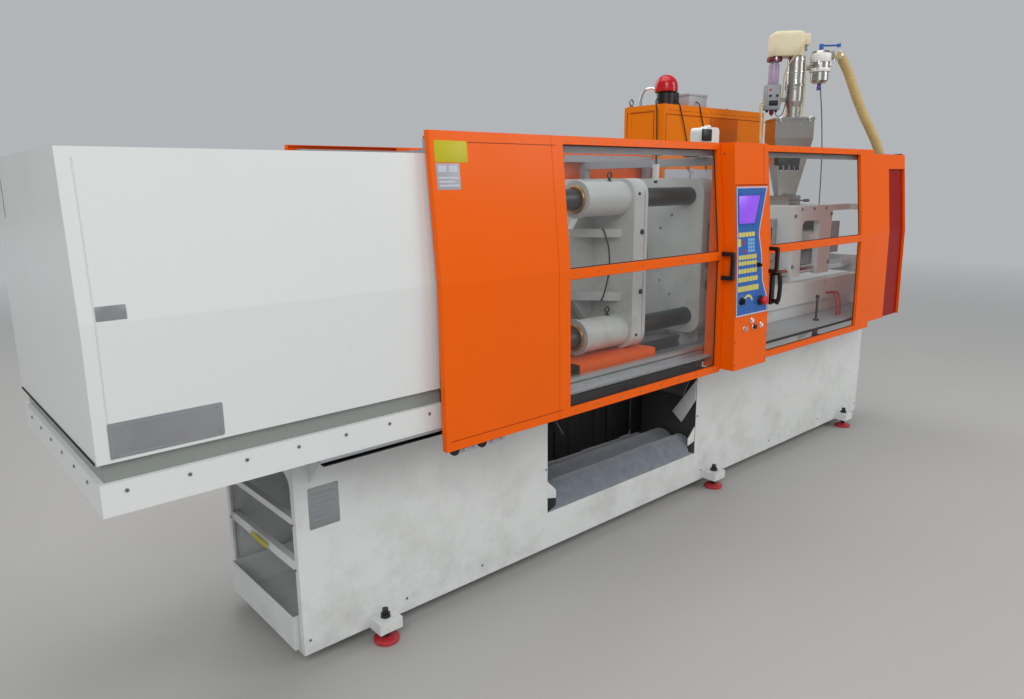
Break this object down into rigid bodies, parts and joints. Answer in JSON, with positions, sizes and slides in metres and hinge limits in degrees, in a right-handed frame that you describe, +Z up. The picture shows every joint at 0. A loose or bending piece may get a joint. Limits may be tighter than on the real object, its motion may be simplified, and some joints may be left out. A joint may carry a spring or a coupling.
{
  "type": "injection moulding machine",
  "caption": "Horizontal injection moulding machine with sliding orange window guards, white clamp cover, swivelled hopper loader and rear electrical cabinet",
  "frame": {"origin": "floor level, under the middle of the overall box", "axes": "+X from the clamp end to the injection end, -Y is the operator's side, +Z up"},
  "size_m": [5.05, 1.3962, 2.66],
  "materials": {
    "white": "satin powder coat",
    "orange": "satin powder coat",
    "cabinet_orange": "satin powder coat",
    "grey": "satin",
    "black": "satin",
    "steel": "ground",
    "chrome": "polished",
    "stainless": "brushed",
    "cast": "painted casting",
    "red": "satin",
    "clear": "clear polycarbonate",
    "felt": "felt",
    "blue": "membrane",
    "blue_metal": "gloss",
    "red_plastic": "gloss",
    "black_plastic": "satin",
    "ivory": "moulded",
    "hose": "fabric hose",
    "bronze": "bearing bronze"
  },
  "bodies": {
    "machine": {"base_frame": "white", "base_deck": "grey", "drip_tray": "white", "levelling_bolts": "black", "levelling_pads": "red", "chute_mat": "felt", "clamp_cover": "white", "cover_skirt": "white", "door_rails": "black", "guard_frame": "grey", "control_column": "orange", "operator_panel": "blue", "fixed_panels": "orange", "lube_unit": "white", "fixed_platen": "cast", "cylinder_platen": "cast", "clamp_cylinder": "grey", "tie_bars": "chrome", "tie_bar_nuts": "steel", "bed_rails": "steel", "injection_bed": "white", "guide_rods": "chrome", "cabinet_body": "cabinet_orange", "cabinet_beacon": "red_plastic", "pump_unit": "blue_metal"},
    "moving_platen_unit": {"moving_platen": "cast", "clamp_ram": "chrome", "platen_tray": "orange", "platen_shoes": "bronze"},
    "ejector_unit": {"ejector": "steel"},
    "clamp_door_unit": {"clamp_door": "orange", "clamp_door_panes": "clear", "clamp_door_fittings": "black"},
    "rear_door_unit": {"rear_door": "orange", "rear_door_panes": "clear"},
    "injection_door_unit": {"injection_door": "orange", "injection_door_panes": "clear", "injection_door_fittings": "black"},
    "carriage_unit": {"carriage": "white", "barrel": "steel", "nozzle": "steel", "heater_bands": "stainless", "barrel_cover": "grey", "hopper": "stainless", "loader_body": "stainless", "loader_motor": "ivory", "material_hose": "hose"},
    "injection_block_unit": {"injection_block": "grey", "screw_motor": "black"},
    "screw_unit": {"screw": "chrome"},
    "hopper_gate_unit": {"hopper_gate": "steel"},
    "valve_handle_unit": {"valve_handle": "blue_metal"},
    "purge_guard_unit": {"purge_guard": "grey"},
    "cabinet_door_left_unit": {"cabinet_door_left": "cabinet_orange"},
    "cabinet_door_right_unit": {"cabinet_door_right": "cabinet_orange"},
    "e_stop_unit": {"e_stop": "red_plastic"},
    "key_switch_unit": {"key_switch": "black_plastic"},
    "speed_knob_unit": {"speed_knob": "black_plastic"},
    "button_start_unit": {"button_start": "chrome"},
    "button_stop_unit": {"button_stop": "chrome"}
  },
  "joints": [
    {"name": "moving_platen_slide", "type": "slide", "parent": "machine", "child": "moving_platen_unit", "axis": [1, 0, 0], "range_m": [-0.25, 0.24]},
    {"name": "ejector_slide", "type": "slide", "parent": "moving_platen_unit", "child": "ejector_unit", "axis": [1, 0, 0], "range_m": [-0.05, 0.075]},
    {"name": "clamp_door_slide", "type": "slide", "parent": "machine", "child": "clamp_door_unit", "axis": [1, 0, 0], "range_m": [-1.04, 0]},
    {"name": "rear_door_slide", "type": "slide", "parent": "machine", "child": "rear_door_unit", "axis": [1, 0, 0], "range_m": [-1.04, 0]},
    {"name": "injection_door_slide", "type": "slide", "parent": "machine", "child": "injection_door_unit", "axis": [1, 0, 0], "range_m": [0, 0.46]},
    {"name": "carriage_slide", "type": "slide", "parent": "machine", "child": "carriage_unit", "axis": [1, 0, 0], "range_m": [-0.11, 0.06]},
    {"name": "injection_slide", "type": "slide", "parent": "carriage_unit", "child": "injection_block_unit", "axis": [1, 0, 0], "range_m": [0, 0.13]},
    {"name": "screw_rotation", "type": "hinge", "parent": "injection_block_unit", "child": "screw_unit", "pos_m": [2.19, 0, 1.34], "axis": [1, 0, 0], "continuous": true},
    {"name": "hopper_gate_slide", "type": "slide", "parent": "carriage_unit", "child": "hopper_gate_unit", "axis": [0, 1, 0], "range_m": [-0.09, 0]},
    {"name": "valve_handle_hinge", "type": "hinge", "parent": "carriage_unit", "child": "valve_handle_unit", "pos_m": [2.01162, -0.12162, 2.55], "axis": [0, 0, 1], "range_deg": [0, 90]},
    {"name": "purge_guard_hinge", "type": "hinge", "parent": "machine", "child": "purge_guard_unit", "pos_m": [0.8, 0.204, 1.676], "axis": [1, 0, 0], "range_deg": [-95, 0]},
    {"name": "cabinet_door_left_hinge", "type": "hinge", "parent": "machine", "child": "cabinet_door_left_unit", "pos_m": [1.034, 0.69, 1.2], "axis": [0, 0, 1], "range_deg": [0, 110]},
    {"name": "cabinet_door_right_hinge", "type": "hinge", "parent": "machine", "child": "cabinet_door_right_unit", "pos_m": [2.206, 0.69, 1.2], "axis": [0, 0, 1], "range_deg": [-110, 0]},
    {"name": "e_stop_slide", "type": "slide", "parent": "machine", "child": "e_stop_unit", "axis": [0, -0.9995, 0.0326], "range_m": [-0.006, 0]},
    {"name": "key_switch_hinge", "type": "hinge", "parent": "machine", "child": "key_switch_unit", "pos_m": [0.465, -0.65035, 1.313], "axis": [0, -0.9995, 0.0326], "range_deg": [-90, 90]},
    {"name": "speed_knob_hinge", "type": "hinge", "parent": "machine", "child": "speed_knob_unit", "pos_m": [0.327, -0.65583, 1.145], "axis": [0, -0.9995, 0.0326], "range_deg": [-135, 135]},
    {"name": "button_start_slide", "type": "slide", "parent": "machine", "child": "button_start_unit", "axis": [0, -0.9995, 0.0326], "range_m": [-0.005, 0], "stiffness_N_per_m": 400},
    {"name": "button_stop_slide", "type": "slide", "parent": "machine", "child": "button_stop_unit", "axis": [0, -0.9995, 0.0326], "range_m": [-0.005, 0], "stiffness_N_per_m": 400}
  ]
}
